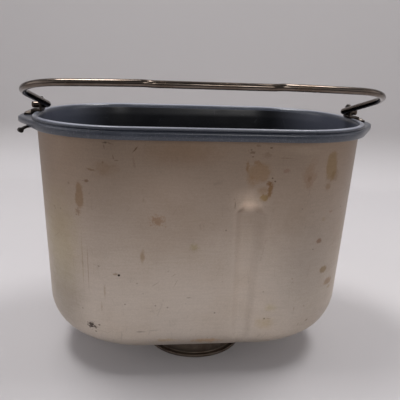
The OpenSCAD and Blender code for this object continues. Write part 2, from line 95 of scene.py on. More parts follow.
class NodeBench:
    """Places and joins the nodes of one material or one shared effect."""

    def __init__(self, tree: Tree) -> None:
        """Empties the tree."""
        self.tree = tree
        self.tree.nodes.clear()

    def add(self, kind: str, feeds: Feeds | None = None, **settings: object) -> Node:
        """Makes a node.

        Args:
            kind: The node's type, without its ShaderNode prefix.
            feeds: What its inputs get.
            **settings: Properties to set on it.

        Returns:
            The new node.
        """
        node = self.tree.nodes.new(kind if kind.startswith("Node") else "ShaderNode" + kind)
        row, column = divmod(len(self.tree.nodes), 12)
        node.location = (180 * column, -220 * row)
        for key, value in settings.items():
            setattr(node, key, value)
        self.feed(node, feeds or {})
        return node

    def feed(self, node: Node, feeds: Feeds) -> None:
        """Joins a node's inputs to sockets, or sets their values.

        Args:
            node: The node.
            feeds: A socket, a number or a tuple for each input's name or index.
        """
        for key, value in feeds.items():
            if isinstance(value, Socket):
                self.tree.links.new(value, node.inputs[key])
            else:
                node.inputs[key].default_value = value

    def math(self, operation: str, a: object, b: object = 0.0, clamp: bool = False) -> Socket:
        """Combines two numbers, and keeps the result between 0 and 1 if asked."""
        return self.add("Math", {0: a, 1: b}, operation=operation, use_clamp=clamp).outputs[0]

    def times(self, a: object, b: object) -> Socket:
        """Multiplies two numbers."""
        return self.math("MULTIPLY", a, b)

    def vector(self, operation: str, a: object, b: object) -> Socket:
        """Combines two vectors."""
        return self.add("VectorMath", {0: a, 1: b}, operation=operation).outputs[0]

    def axes(self, vector: Socket) -> Iterable[Socket]:
        """Splits a vector into X, Y and Z."""
        return self.add("SeparateXYZ", {0: vector}).outputs

    def blend(self, mask: object, below: object, above: object, how: str = "MIX") -> Socket:
        """Lays one linear colour over another where the mask shows it."""
        feeds = {0: mask, 6: below, 7: above}
        return self.add("Mix", feeds, data_type="RGBA", blend_type=how).outputs[2]

    def coat(self, below: object, mask: Socket, amount: float, colour: Colour) -> Socket:
        """Lays an amount of a display colour over a linear one where the mask shows it."""
        return self.blend(self.times(mask, amount), below, srgb(colour))

    def tint(self, below: Socket, mask: Socket, factors: Colour) -> Socket:
        """Multiplies a colour by a factor for each channel where the mask shows it."""
        return self.blend(mask, below, (*factors, 1.0), "MULTIPLY")

    def span(self, value: object, low: object, high: object, out_low: float = 0.0,
             out_high: float = 1.0) -> Socket:
        """Maps a value smoothly, so that low gives out_low and high gives out_high."""
        feeds = {"Value": value, "From Min": low, "From Max": high, "To Min": out_low, "To Max": out_high}
        return self.add("MapRange", feeds, interpolation_type="SMOOTHSTEP").outputs[0]

    def place(self) -> Socket:
        """Gives the point's place in the part's own frame, in metres."""
        return self.add("TexCoord").outputs["Object"]

    def noise(self, place: Socket, scale: object, detail: float = 4.0, rough: float = 0.55) -> Socket:
        """Adds noise of a scale per metre, a detail in octaves and a strength of the finer ones."""
        feeds = {"Vector": place, "Scale": scale, "Detail": detail, "Roughness": rough}
        return self.add("TexNoise", feeds).outputs[0]

    def effect(self, tree: Tree, place: Socket, **values: object) -> Socket:
        """Places a shared effect with its other inputs by name, and gives its result."""
        return self.add("Group", {"Place": place, **values}, node_tree=tree).outputs[0]

    def bump(self, height: Socket, strength: float, distance: float, **below: Socket) -> Socket:
        """Raises the surface, where a height of 1 is a distance in metres, over a Normal if there is one."""
        feeds = {"Strength": strength, "Distance": distance, "Height": height, **below}
        return self.add("Bump", feeds).outputs[0]

    def give(self, result: Socket) -> Tree:
        """Ends a shared effect with its result, and gives the effect."""
        self.add("NodeGroupOutput", {0: result})
        return self.tree


def open_effect(name: str, output: str, **inputs: object) -> tuple[NodeBench, list[Socket]]:
    """Starts a shared effect with its named sockets.

    Args:
        name: The group's name.
        output: Its output's name.
        **inputs: Its inputs after Place, each with a default: a number, or a tuple for a vector.

    Returns:
        A bench in the group, and the sockets of Place and of its other inputs.
    """
    tree = bpy.data.node_groups.new(name, "ShaderNodeTree")
    for key, value in {"Place": (0.0, 0.0, 0.0), **inputs}.items():
        kind = "NodeSocketVector" if isinstance(value, tuple) else "NodeSocketFloat"
        tree.interface.new_socket(key, in_out="INPUT", socket_type=kind).default_value = value
    tree.interface.new_socket(output, in_out="OUTPUT", socket_type="NodeSocketFloat")
    bench = NodeBench(tree)
    return bench, bench.add("NodeGroupInput").outputs[:len(inputs) + 1]


class Effects:
    """The surface effects that several finishes share, each built once."""

    def __init__(self) -> None:
        """Builds every shared effect."""
        self.clouds = self._clouds()
        self.flecks = self._flecks()
        self.brushing = self._brushing()
        self.scratches = self._scratches()
        self.stain_or_painted_light = self._stain_or_painted_light()

    def _clouds(self) -> Tree:
        """Makes soft uneven patches, such as tarnish or a baked-on haze."""
        b, (place, scale, low, high) = open_effect("uneven patches", "Mask", Scale=30.0, Low=0.45, High=0.65)
        return b.give(b.span(b.noise(place, scale, 5.0, 0.6), low, high))

    def _flecks(self) -> Tree:
        """Makes fine separate flecks, each with its own strength.

        Returns:
            The effect.
        """
        b, (place, scale, size, amount) = open_effect("flecks", "Mask", Scale=1500.0, Size=0.3, Share=0.4)
        cells = b.add("TexVoronoi", {"Vector": place, "Scale": scale})
        near = b.math("SUBTRACT", 1.0, b.math("DIVIDE", cells.outputs["Distance"], size), True)
        chance = b.add("SeparateColor", {0: cells.outputs["Color"]})
        some = b.math("LESS_THAN", chance.outputs[0], amount)
        return b.give(b.times(b.math("MULTIPLY", near, 2.0, True), b.times(some, chance.outputs[1])))

    def _brushing(self) -> Tree:
        """Makes the long fine lines that rolling, drawing or brushing leaves."""
        b, (place, factors, scale) = open_effect("brushing", "Height", Factors=(1.0, 1.0, 40.0), Scale=60.0)
        return b.give(b.noise(b.vector("MULTIPLY", place, factors), scale, 3.0, 0.7))

    def _scratches(self) -> Tree:
        """Makes scattered thin scratches that run about one way.

        Returns:
            The effect.
        """
        b, (place, factors, scale, width, amount) = open_effect(
            "scratches", "Mask", Factors=(1.0, 1.0, 1.0), Scale=60.0, Width=0.02, Share=0.5)
        bend = b.times(b.noise(place, 40.0, 2.0), 0.004)
        shift = b.add("VectorMath", {0: factors, "Scale": bend}, operation="SCALE").outputs[0]
        moved = b.vector("ADD", b.vector("MULTIPLY", place, factors), shift)
        cells = b.add("TexVoronoi", {"Vector": moved, "Scale": scale}, feature="DISTANCE_TO_EDGE")
        line = b.math("SUBTRACT", 1.0, b.math("DIVIDE", cells.outputs["Distance"], width), True)
        gate = b.math("GREATER_THAN", b.noise(place, 90.0, 3.0), b.math("SUBTRACT", 1.0, amount))
        return b.give(b.times(line, gate))

    def _stain_or_painted_light(self) -> Tree:
        """Makes one soft patch with a ragged edge around a centre, for the stains and for painted light and
        shade.

        Returns:
            The effect.
        """
        b, (place, centre, radii, turn, rough, ragged, soft) = open_effect(
            "stain_or_painted_light", "Mask", Centre=(0.0, 0.0, 0.0), Radii=(0.01, 0.01, 0.01), Turn=0.0, Rough=0.5,
            Ragged=0.5, Soft=0.5)
        feeds = {"Vector": place, "Center": centre, "Angle": turn}
        turned = b.add("VectorRotate", feeds, rotation_type="Y_AXIS").outputs[0]
        scaled = b.vector("DIVIDE", b.vector("SUBTRACT", turned, centre), radii)
        away = b.add("VectorMath", {0: scaled}, operation="LENGTH").outputs["Value"]
        wobble = b.times(b.math("SUBTRACT", rough, 0.5), b.times(ragged, 4.0))
        return b.give(b.span(b.math("ADD", away, wobble), 1.0, b.math("SUBTRACT", 1.0, soft)))


EFFECTS = Effects()


# --- finishes


def new_material(name: str) -> tuple[Material, NodeBench, Node]:
    """Starts a material with a Principled surface.

    Args:
        name: The material's name.

    Returns:
        The material, a bench in it, and its Principled node.
    """
    material = bpy.data.materials.new(name)
    material.use_nodes = True
    bench = NodeBench(material.node_tree)
    surface = bench.add("BsdfPrincipled")
    bench.add("OutputMaterial", {"Surface": surface.outputs[0]})
    return material, bench, surface


@dataclass(frozen=True)
class StainOrPaintedLight:
    """One mark on the pan's outer wall, in millimetres and degrees, with a tint in percent: one of its
    stains, or a patch of painted light or shade.
    """

    x: float
    z: float
    half_x: float
    half_z: float
    tint: Colour
    soft: float = 0.8
    ragged: float = 0.3
    fine: bool = True
    turn: float = 0


STAINS_AND_PAINTED_LIGHT = [StainOrPaintedLight(*row) for row in (
    (-65.4, 110.1, 2.7, 8.41, (84, 74, 62), 0.4, 0.24, False),
    (-66.3, 101.8, 1.87, 2.79, (82, 74, 66), 0.8, 0.7),
    (-67.5, 99.9, 0.67, 0.67, (72, 66, 60), 0.6, 0.2),
    (-61.6, 118.9, 1.71, 0.79, (66, 56, 48), 0.6, 0.6, True, 8),
    (-58.6, 125.0, 2.77, 0.82, (78, 70, 62), 0.8, 0.5, True, -12),
    (-70.9, 116.4, 0.96, 1.03, (86, 82, 78), 0.8, 0.2),
    (-51.2, 139.0, 1.92, 0.68, (50, 48, 48), 0.8, 0.5),
    (-51.8, 136.9, 0.43, 1.97, (72, 68, 66), 0.8, 0.3, True, 10),
    (-49.1, 138.7, 2.39, 0.63, (75, 70, 68), 0.8, 0.5, True, -15),
    (-37.0, 135.8, 0.48, 2.57, (50, 42, 36), 0.7, 0.3, True, -40),
    (-37.6, 129.3, 0.87, 4.55, (86, 82, 78), 0.9, 0.5, True, 8),
    (-47.5, 131.8, 0.38, 1.8, (72, 66, 60), 0.8, 0.3, True, 15),
    (-45.9, 130.3, 1.54, 0.4, (76, 70, 64)),
    (-52.7, 129.1, 0.73, 0.81, (80, 74, 70)),
    (-51.6, 125.9, 8.33, 6.11, (92, 87, 81), 0.9, 0.35, False),
    (-25.8, 98.3, 4.71, 3.8, (86, 74, 64), 0.6, 0.75),
    (-33.5, 77.9, 1.62, 5.32, (84, 77, 66), 0.7, 0.3, False),
    (-46.1, 66.9, 0.84, 0.88, (5, 3, 2), 0.45, 0.15),
    (-47.9, 67.5, 1.59, 0.79, (72, 66, 60), 0.8, 0.6),
    (-62.6, 33.6, 2.61, 2.34, (20, 18, 18), 0.6, 0.9),
    (-60.0, 33.0, 1.63, 1.6, (28, 26, 26), 0.6, 0.8),
    (-57.6, 34.7, 0.86, 0.77, (40, 38, 36), 0.7),
    (-59.8, 29.6, 0.88, 0.78, (50, 48, 46), 0.7),
    (-34.7, 30.5, 3.63, 0.88, (68, 68, 68), 0.85, 0.25),
    (-27.3, 31.2, 3.93, 0.54, (86, 86, 86), 0.8, 0.3, True, 5),
    (-8.2, 52.2, 1.94, 0.51, (72, 70, 70), 0.8, 0.2),
    (-26.7, 61.1, 0.32, 3.11, (76, 74, 72), 0.8, 0.2, True, -55),
    (-16.8, 66.5, 0.32, 2.09, (80, 78, 76), 0.8, 0.2, True, -52),
    (-15.6, 61.5, 0.33, 3.12, (82, 80, 78), 0.8, 0.3, True, -24),
    (-6.5, 83.0, 3.46, 3.24, (92, 93, 78), 0.9, 0.5),
    (3.3, 22.7, 12.92, 2.41, (96, 80, 64), 0.8, 0.5, False),
    (-20.5, 23.7, 8.59, 1.81, (93, 85, 72), 0.9, 0.5, False),
    (-77.8, 82.3, 16.23, 46.27, (100, 100, 88), 0.9, 0.15, False),
    (-53.9, 56.5, 0.93, 6.26, (86, 82, 78), 0.9),
    (-55.8, 46.8, 0.72, 5.15, (90, 86, 82), 0.9),
    (-65.4, 73.0, 0.34, 21.81, (87, 84, 80), 0.7, 0.1),
    (-62.5, 69.9, 0.34, 19.45, (84, 80, 78), 0.7, 0.1),
    (-80.5, 101.0, 0.91, 1.01, (86, 84, 80), 0.8, 0.2),
    (-33.0, 110.0, 0.75, 2.15, (90, 88, 86), 0.9, 0.4),
    (24.9, 124.5, 7.98, 7.39, (93, 83, 70), 0.6, 0.32, False),
    (22.2, 120.0, 4.39, 3.74, (95, 87, 77), 0.8, 0.4, False),
    (18.8, 127.9, 1.32, 3.12, (84, 73, 60), 0.8, 0.5),
    (24.2, 130.3, 3.06, 1.55, (90, 80, 70), 0.8, 0.6),
    (31.8, 115.7, 1.68, 5.71, (72, 56, 38), 0.6, 0.32, True, -8),
    (30.9, 119.0, 2.19, 1.83, (72, 57, 42), 0.7, 0.4),
    (29.0, 111.3, 2.84, 2.42, (80, 70, 46), 0.6, 0.32),
    (27.8, 115.2, 4.19, 3.81, (93, 86, 77), 0.9, 0.35, False),
    (32.3, 122.0, 0.62, 0.64, (50, 44, 38), 0.6, 0.2),
    (33.9, 120.3, 0.78, 0.59, (50, 44, 38), 0.6),
    (21.0, 135.3, 1.66, 0.92, (68, 62, 58), 0.8, 0.6),
    (21.3, 133.1, 0.76, 0.56, (60, 54, 50), 0.7, 0.2),
    (30.1, 137.8, 1.01, 0.61, (55, 50, 48), 0.7),
    (23.7, 138.7, 2.01, 0.81, (80, 76, 74), 0.8, 0.6),
    (28.7, 134.2, 3.56, 1.85, (88, 84, 82), 0.9, 0.6),
    (38.6, 132.6, 6.17, 0.36, (86, 82, 80), 0.8, 0.2),
    (52.6, 123.2, 5.17, 10.29, (94, 87, 81), 0.7, 0.4, False),
    (52.0, 121.6, 1.26, 2.17, (84, 77, 72), 0.8, 0.6),
    (39.3, 126.0, 2.6, 1.32, (92, 82, 80), 0.8, 0.6),
    (64.8, 127.5, 4.4, 10.23, (86, 78, 60), 0.45, 0.2, False, 4),
    (67.9, 121.9, 3.41, 4.56, (90, 85, 76), 0.7, 0.3, False),
    (64.1, 116.2, 2.33, 3.72, (86, 78, 68), 0.9, 0.4, False),
    (68.8, 101.4, 1.86, 0.98, (90, 80, 76)),
    (64.2, 97.6, 1.55, 2.06, (93, 89, 80), 0.9),
    (63.3, 84.8, 2.11, 1.89, (70, 57, 50), 0.4, 0.16),
    (69.6, 65.4, 3.25, 2.69, (74, 66, 51), 0.4, 0.16),
    (75.1, 55.7, 4.16, 2.99, (80, 71, 61), 0.5, 0.28),
    (76.8, 51.3, 2.24, 1.87, (90, 85, 78)),
    (62.4, 33.4, 1.21, 0.88, (64, 62, 58), 0.7, 0.3, True, 15),
    (52.8, 43.1, 0.44, 2.6, (80, 76, 74), 0.8, 0.2),
    (59.1, 44.0, 0.83, 0.77, (80, 76, 74), 0.8, 0.2),
    (56.9, 31.5, 0.49, 1.56, (80, 78, 76), 0.8, 0.2, True, -15),
    (49.5, 63.1, 0.72, 0.71, (80, 76, 74), 0.8, 0.2),
    (35.8, 37.3, 0.71, 0.82, (50, 48, 44), 0.6, 0.2),
    (38.2, 37.3, 2.06, 0.41, (74, 72, 70), 0.8, 0.2),
    (35.8, 34.5, 7.09, 6.53, (97, 93, 82), 0.9, 0.3, False),
    (38.3, 44.5, 4.67, 3.35, (98, 97, 86), 0.9, 0.3, False),
    (14.0, 107.2, 0.37, 3.6, (60, 58, 56), 0.7, 0.2),
    # Painted shade: a darker band below the rim, left of the middle.
    (-14.8, 135.1, 30.27, 11.03, (88, 82, 76), 0.9, 0.14, False),
    # Painted light: a paler band below the rim, right of the middle.
    (46.4, 136.5, 13.8, 3.09, (112, 114, 115), 0.9, 0.2, False),
    # Painted highlight: the glow on the rib's sloping shoulder, in two layers.
    (21.0, 109.7, 13.63, 9.37, (136, 136, 135), 1.0, 0.05, False),
    (22.3, 106.3, 8.44, 4.46, (142, 142, 141), 1.0, 0.05, False),
    # Painted light: a tall paler band along the rib.
    (21.9, 70.6, 10.0, 49.48, (115, 115, 115), 0.9, 0.03, False),
    # Painted light: a broad paler patch left of the middle, high on the wall.
    (-21.8, 111.7, 31.19, 20.42, (113, 113, 114), 0.95, 0.05, False),
    # Painted shade over the curve of the right end, then over the lower curve of the left end.
    (60.3, 68.6, 31.41, 71.71, (83, 83, 83), 0.9, 0.08, False),
    (-77.8, 47.2, 18.5, 38.32, (80, 80, 79), 0.9, 0.1, False),
)]


@dataclass(frozen=True)
class BareAluminium:
    """Drawn sheet aluminium that baking has browned and scuffed, with painted light that pales it towards the
    bottom and painted shade that darkens it towards the rim.
    """

    # low and high are painted light and shade: the wall's colour at its foot and under the rim.
    low: Colour = (204, 193, 181)
    high: Colour = (150, 131, 114)
    low_z: float = 0.025
    high_z: float = 0.150
    dust: Colour = (80, 66, 58)
    scratches: tuple = ((0.06, 70.0, 0.42, 0.14, (92, 78, 66)), (0.5, 110.0, 0.38, 0.16, (84, 68, 58)))
    fine_edge: float = 700.0
    wide_edge: float = 230.0
    metallic: float = 0.8
    roughness: float = 0.42

    def make(self) -> Material:
        """Builds the finish.

        Returns:
            Its material.
        """
        material, b, surface = new_material("bare_aluminium")
        place = b.place()
        _, y, z = b.axes(place)
        # Painted light and shade: pale at the foot, dark under the rim, blended by height.
        colour = b.blend(b.span(z, self.low_z, self.high_z), srgb(self.low), srgb(self.high))
        haze = b.effect(EFFECTS.clouds, place, Scale=22.0, Low=0.42, High=0.72)
        bloom = b.effect(EFFECTS.clouds, place, Scale=90.0, Low=0.4, High=0.75)
        lines = b.effect(EFFECTS.brushing, place, Factors=(1.0, 1.0, 12.0), Scale=90.0)
        grain = b.noise(place, 1100.0, 2.0, 0.7)
        colour = b.tint(colour, b.times(haze, 0.5), (0.97, 0.93, 0.88))
        colour = b.tint(colour, b.times(bloom, 0.5), (0.95, 0.95, 0.95))
        colour = b.tint(colour, b.span(lines, 0.35, 0.7), (0.95, 0.95, 0.95))
        colour = b.tint(colour, b.span(grain, 0.35, 0.65), (0.94, 0.935, 0.93))
        dust = b.effect(EFFECTS.flecks, place, Scale=300.0, Size=0.2, Share=0.08)
        colour = b.coat(colour, dust, 0.5, self.dust)
        near_side = b.math("LESS_THAN", y, 0.0)
        edges = {True: b.noise(place, self.fine_edge, 3.0, 0.65),
                 False: b.noise(place, self.wide_edge, 4.0, 0.6)}
        marks = 0.0
        # Tints the near wall with its stains and, from the list's last rows, with painted light and shade.
        for stain_or_painted_light in STAINS_AND_PAINTED_LIGHT:
            mask = b.effect(
                EFFECTS.stain_or_painted_light, place, Centre=(stain_or_painted_light.x * MM, 0.0, stain_or_painted_light.z * MM),
                Radii=(stain_or_painted_light.half_x * MM, 10.0, stain_or_painted_light.half_z * MM), Turn=math.radians(stain_or_painted_light.turn),
                Rough=edges[stain_or_painted_light.fine], Ragged=stain_or_painted_light.ragged, Soft=stain_or_painted_light.soft)
            mask = b.times(mask, near_side)
            colour = b.tint(colour, mask, tuple(v / 100 for v in stain_or_painted_light.tint))
            marks = b.math("MAXIMUM", marks, mask)
        for along, scale, amount, strength, scuff in self.scratches:
            mask = b.effect(
                EFFECTS.scratches, place, Factors=(1.0, 1.0, along), Scale=scale, Width=0.012, Share=amount)
            colour = b.coat(colour, mask, strength, scuff)
        rough = b.math("ADD", self.roughness, b.times(haze, 0.10))
        relief = b.bump(b.noise(place, 900.0, 3.0), 0.15, 0.00005, Normal=b.bump(lines, 0.25, 0.00005))
        b.feed(surface, {"Base Color": colour, "Metallic": self.metallic, "Normal": relief,
                         "Roughness": b.math("ADD", rough, b.times(marks, 0.12), True)})
        return material


@dataclass(frozen=True)
class SpeckledCoating:
    """Non-stick coating with light and dark flecks, with a painted highlight along the rim's crest and, where
    ends is set, painted light towards the ends.
    """

    name: str = "speckled_coating"
    base: Colour = (56, 60, 70)
    light: Colour = (110, 114, 126)
    dark: Colour = (22, 22, 27)
    painted_light: Colour = (168, 172, 184)
    scuff: Colour = (120, 122, 128)
    crest_z: float = 0.1471
    crest_height: float = 0.0006
    ends: float = 0.0
    gloss: float = 0.6
    roughness: float = 0.28

    def make(self) -> Material:
        """Builds the finish.

        Returns:
            Its material.
        """
        material, b, surface = new_material(self.name)
        place = b.place()
        worn = b.effect(EFFECTS.clouds, place, Scale=35.0, Low=0.4, High=0.75)
        colour = b.coat(srgb(self.base), worn, 0.4, tuple(1.25 * v for v in self.base))
        pale = b.effect(EFFECTS.flecks, place, Scale=1500.0, Size=0.42, Share=0.5)
        colour = b.coat(colour, pale, 0.75, self.light)
        shifted = b.vector("MULTIPLY", place, (1.07, 1.03, 1.05))
        deep = b.effect(EFFECTS.flecks, shifted, Scale=1150.0, Size=0.4, Share=0.4)
        colour = b.coat(colour, deep, 0.7, self.dark)
        x, _, z = b.axes(place)
        off_middle = b.math("ABSOLUTE", x)
        # Painted highlight along the rim's crest, weaker towards the ends.
        crest = b.span(z, self.crest_z - self.crest_height, self.crest_z)
        crest = b.times(crest, b.span(off_middle, 0.065, 0.092, 0.72, 0.35))
        colour = b.blend(crest, colour, srgb(self.painted_light))
        # Painted light on the coating towards both ends.
        if self.ends:
            colour = b.coat(colour, b.span(off_middle, 0.055, 0.09), self.ends, self.painted_light)
        scuffs = b.effect(EFFECTS.scratches, place, Scale=45.0, Width=0.006, Share=0.45)
        colour = b.coat(colour, scuffs, 0.25, self.scuff)
        b.feed(surface, {"Base Color": colour, "Metallic": 0.0, "Specular IOR Level": self.gloss,
                         "Roughness": b.math("ADD", self.roughness, b.times(worn, 0.12), True),
                         "Normal": b.bump(b.noise(place, 1400.0, 2.0), 0.25, 0.00006)})
        return material


@dataclass(frozen=True)
class WornMetal:
    """Bare metal with tarnish in patches, fine working lines and scuffs."""

    name: str
    colour: Colour
    tarnish: Colour
    roughness: float = 0.3
    metallic: float = 1.0
    patches: float = 0.5
    patch_scale: float = 120.0
    lines: Size = (1.0, 1.0, 30.0)
    line_depth: float = 0.2
    grit: float = 0.0

    def make(self) -> Material:
        """Builds the finish.

        Returns:
            Its material.
        """
        material, b, surface = new_material(self.name)
        place = b.place()
        patch = b.effect(EFFECTS.clouds, place, Scale=self.patch_scale, Low=0.4, High=0.68)
        colour = b.coat(srgb(self.colour), patch, self.patches, self.tarnish)
        lines = b.effect(EFFECTS.brushing, place, Factors=self.lines, Scale=90.0)
        colour = b.blend(b.span(lines, 0.3, 0.7, 0.0, 0.18), colour, srgb(self.tarnish))
        scuffs = b.effect(EFFECTS.scratches, place, Scale=160.0, Width=0.015, Share=0.5)
        rough = b.math("ADD", self.roughness, b.times(patch, 0.16))
        relief = b.bump(lines, self.line_depth, 0.00004)
        if self.grit:
            relief = b.bump(b.noise(place, 2200.0, 3.0), self.grit, 0.0001, Normal=relief)
        b.feed(surface, {"Base Color": colour, "Metallic": self.metallic,
                         "Roughness": b.math("ADD", rough, b.times(scuffs, 0.12), True),
                         "Normal": b.bump(scuffs, -0.2, 0.00003, Normal=relief)})
        return material


@dataclass(frozen=True)
class MouldedRubber:
    """Black heat-proof rubber with a dusty bloom."""

    name: str = "seal_rubber"
    colour: Colour = (34, 33, 34)
    bloomed: Colour = (70, 68, 66)
    roughness: float = 0.55

    def make(self) -> Material:
        """Builds the finish.

        Returns:
            Its material.
        """
        material, b, surface = new_material(self.name)
        place = b.place()
        bloom = b.effect(EFFECTS.clouds, place, Scale=260.0, Low=0.4, High=0.7)
        b.feed(surface, {"Base Color": b.coat(srgb(self.colour), bloom, 0.5, self.bloomed),
                         "Roughness": b.math("ADD", self.roughness, b.times(bloom, 0.2), True),
                         "Normal": b.bump(b.noise(place, 2500.0, 2.0), 0.2, 0.00005)})
        return material


class Finishes:
    """Every finish of the part, ready to use."""

    def __init__(self) -> None:
        """Builds all materials."""
        self.aluminium = BareAluminium().make()
        self.coating = SpeckledCoating().make()
        # The inside and the paddle get a darker, less glossy copy of the same coating as painted shade, with
        # painted light towards the ends.
        self.shaded_lining = SpeckledCoating("shaded_inner_coating", (16, 17, 21), (46, 50, 58), (8, 8, 10), (96, 100, 114),
                                      ends=0.62, gloss=0.25).make()
        self.rubber = MouldedRubber().make()
        fine, cast, turned, ground = (8.0, 8.0, 8.0), (1.0, 1.0, 1.0), (1.0, 1.0, 20.0), (1.0, 1.0, 60.0)
        metals = {
            "wire": ("drawn_wire", (112, 102, 94), (76, 62, 50), 0.13, 1.0, 0.6, 60.0, fine, 0.05),
            "bracket": ("tarnished_sheet", (82, 74, 68), (38, 30, 26), 0.38, 1.0, 0.8, 220.0),
            "foot": ("pressed_foot", (128, 116, 104), (74, 60, 50), 0.36, 0.9, 0.7, 70.0),
            "tongue": ("sooted_strip", (44, 38, 34), (24, 18, 14), 0.5, 0.6, 0.8, 260.0),
            "rivet": ("rivet_heads", (150, 144, 138), (84, 72, 62), 0.4, 1.0, 0.8, 300.0),
            "cast": ("cast_housing", (158, 156, 154), (118, 112, 106), 0.5, 0.85, 0.5, 150.0, cast, 0.1, 0.5),
            "bronze": ("sintered_bronze", (168, 126, 78), (104, 74, 44), 0.42, 1.0, 0.6, 300.0, turned,
                       0.2, 0.3),
            "shaft": ("ground_shaft", (196, 196, 198), (142, 138, 134), 0.22, 1.0, 0.4, 160.0, ground, 0.25),
            "clip": ("blued_spring", (72, 76, 88), (44, 42, 46), 0.34, 1.0, 0.6, 300.0),
            "coupling": ("sintered_dog", (124, 122, 122), (76, 70, 66), 0.46, 0.95, 0.6, 200.0, cast,
                         0.1, 0.5)}
        self.metal = {key: WornMetal(*row).make() for key, row in metals.items()}


# --- mesh making


def share(value: float) -> float:
    """Keeps a value between 0 and 1."""
    return min(1.0, max(0.0, value))


def circle(steps: int) -> list[float]:
    """Splits a full turn into steps and gives where each one starts."""
    return [2 * math.pi * k / steps for k in range(steps)]


def quarter(steps: int) -> list[float]:
    """Splits a quarter turn into steps and gives the ends of them all."""
    return [math.pi / 2 * k / steps for k in range(steps + 1)]


def loft(rings: list[Ring], closed: bool = False, finish_of: Callable[[int], int] = lambda band: 0) -> Mesh:
    """Joins closed rings of points with faces.

    Args:
        rings: Rings with the same number of points, in order.
        closed: Whether the last ring joins the first, where both are filled otherwise.
        finish_of: Gives the material index of the band that starts at a ring.

    Returns:
        The mesh under construction.
    """
    mesh = bmesh.new()
    rows = [[mesh.verts.new(p) for p in ring] for ring in rings]
    for j in range(len(rows) if closed else len(rows) - 1):
        low, high = rows[j], rows[(j + 1) % len(rows)]
        for i in range(len(low)):
            n = (i + 1) % len(low)
            mesh.faces.new((low[i], low[n], high[n], high[i])).material_index = finish_of(j)
    if not closed:
        mesh.faces.new(tuple(reversed(rows[0])))
        mesh.faces.new(tuple(rows[-1]))
    bmesh.ops.recalc_face_normals(mesh, faces=mesh.faces)
    return mesh


def rounded(corners: list[Size], steps: int = 4) -> list[Point]:
    """Rounds the corners of a closed outline.

    Args:
        corners: Each corner's radius and z, and the radius of its rounding.
        steps: Number of steps in a rounding.

    Returns:
        The rounded outline.
    """
    out = []
    for i, (*corner, size) in enumerate(corners):
        p, a, c = (Vector(q) for q in (corner, corners[i - 1][:2], corners[(i + 1) % len(corners)][:2]))
        to_a, to_c = a - p, c - p
        # A rounding takes just under half of a side, so that two of them fit.
        cut = min(size, to_a.length * 0.49, to_c.length * 0.49)
        start, end = p + to_a.normalized() * cut, p + to_c.normalized() * cut
        for t in (k / steps for k in range(steps + 1)):
            out.append(tuple(start * (1 - t) ** 2 + p * 2 * t * (1 - t) + end * t ** 2))
    return out


def lathe(corners: list[Size], steps: int,
          radius_at: Callable[[float, float, float], float] = lambda radius, z, angle: radius) -> Mesh:
    """Turns a closed outline round Z.

    Args:
        corners: Each corner's radius and z, and the radius of its rounding, in millimetres.
        steps: Number of steps in a full turn.
        radius_at: Changes a point's radius by its radius, its z and its angle.

    Returns:
        The mesh under construction.
    """
    profile, rings = rounded(corners), []
    for angle in circle(steps):
        section = [(radius_at(radius, z, angle), z) for radius, z in profile]
        rings.append([Vector((r * math.cos(angle), r * math.sin(angle), z)) * MM for r, z in section])
    return loft(rings, closed=True)


def add_object(name: str, data: bpy.types.ID) -> Piece:
    """Puts an object in the scene for a mesh, a lamp or a camera."""
    bpy.context.collection.objects.link(bpy.data.objects.new(name, data))
    return bpy.data.objects[name]


def add_piece(name: str, mesh: Mesh, finishes: list[Material], sharp: float) -> Piece:
    """Turns a finished mesh into a smooth-shaded object.

    Args:
        name: The piece's name.
        mesh: The mesh, which is freed.
        finishes: Its materials, in the order of their indices.
        sharp: Edges that bend by more than this many degrees stay sharp.

    Returns:
        The object.
    """
    data = bpy.data.meshes.new(name)
    mesh.to_mesh(data)
    mesh.free()
    data.shade_smooth()
    data.set_sharp_from_angle(angle=math.radians(sharp))
    for finish in finishes:
        data.materials.append(finish)
    return add_object(name, data)


def settle(piece: Piece, body: Body, slot: Slot, *nodes: str) -> None:
    """Puts a piece on its body in place of its solids.

    Args:
        piece: The piece.
        body: The body it rides on.
        slot: Its material slot, which is not used.
        *nodes: The solids it stands for.
    """
    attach(piece, body.value)
    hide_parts(*nodes)
    LOG.info("%s on %s stands for %s", piece.name, body.value, ", ".join(nodes))


def dress(finish: Material, *nodes: str) -> None:
    """Gives shown solids their finish.

    Args:
        finish: The material.
        *nodes: The solids' names.
    """
    for name in nodes:
        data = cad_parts[name].data
        data.materials.clear()
        data.materials.append(finish)
        LOG.info("%s shows its solid in %s", name, finish.name)


def ease(node: str, name: str, finish: Material, width: float, body: Body, slot: Slot) -> None:
    """Puts a copy of a solid in its place, with its sharp edges rounded over.

    Args:
        node: The solid's name.
        name: The copy's name.
        finish: Its material.
        width: Width of the rounding, in millimetres.
        body: The body it rides on.
        slot: Its material slot.
    """
    mesh = bmesh.new()
    mesh.from_mesh(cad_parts[node].data)
    bmesh.ops.remove_doubles(mesh, verts=mesh.verts, dist=SAME_PLACE)
    bmesh.ops.dissolve_limit(mesh, angle_limit=FLAT, verts=mesh.verts, edges=mesh.edges)
    edges = [e for e in mesh.edges if len(e.link_faces) == 2 and e.calc_face_angle(0) > SHARP]
    bmesh.ops.bevel(mesh, geom=edges, offset=width * MM, segments=2, profile=0.6, affect="EDGES",
                    clamp_overlap=True)
    bmesh.ops.triangulate(mesh, faces=[f for f in mesh.faces if len(f.verts) > 4])
    for face in mesh.faces:
        face.material_index = 0
    settle(add_piece(name, mesh, [finish], 30.0), body, slot, node)


# --- the part


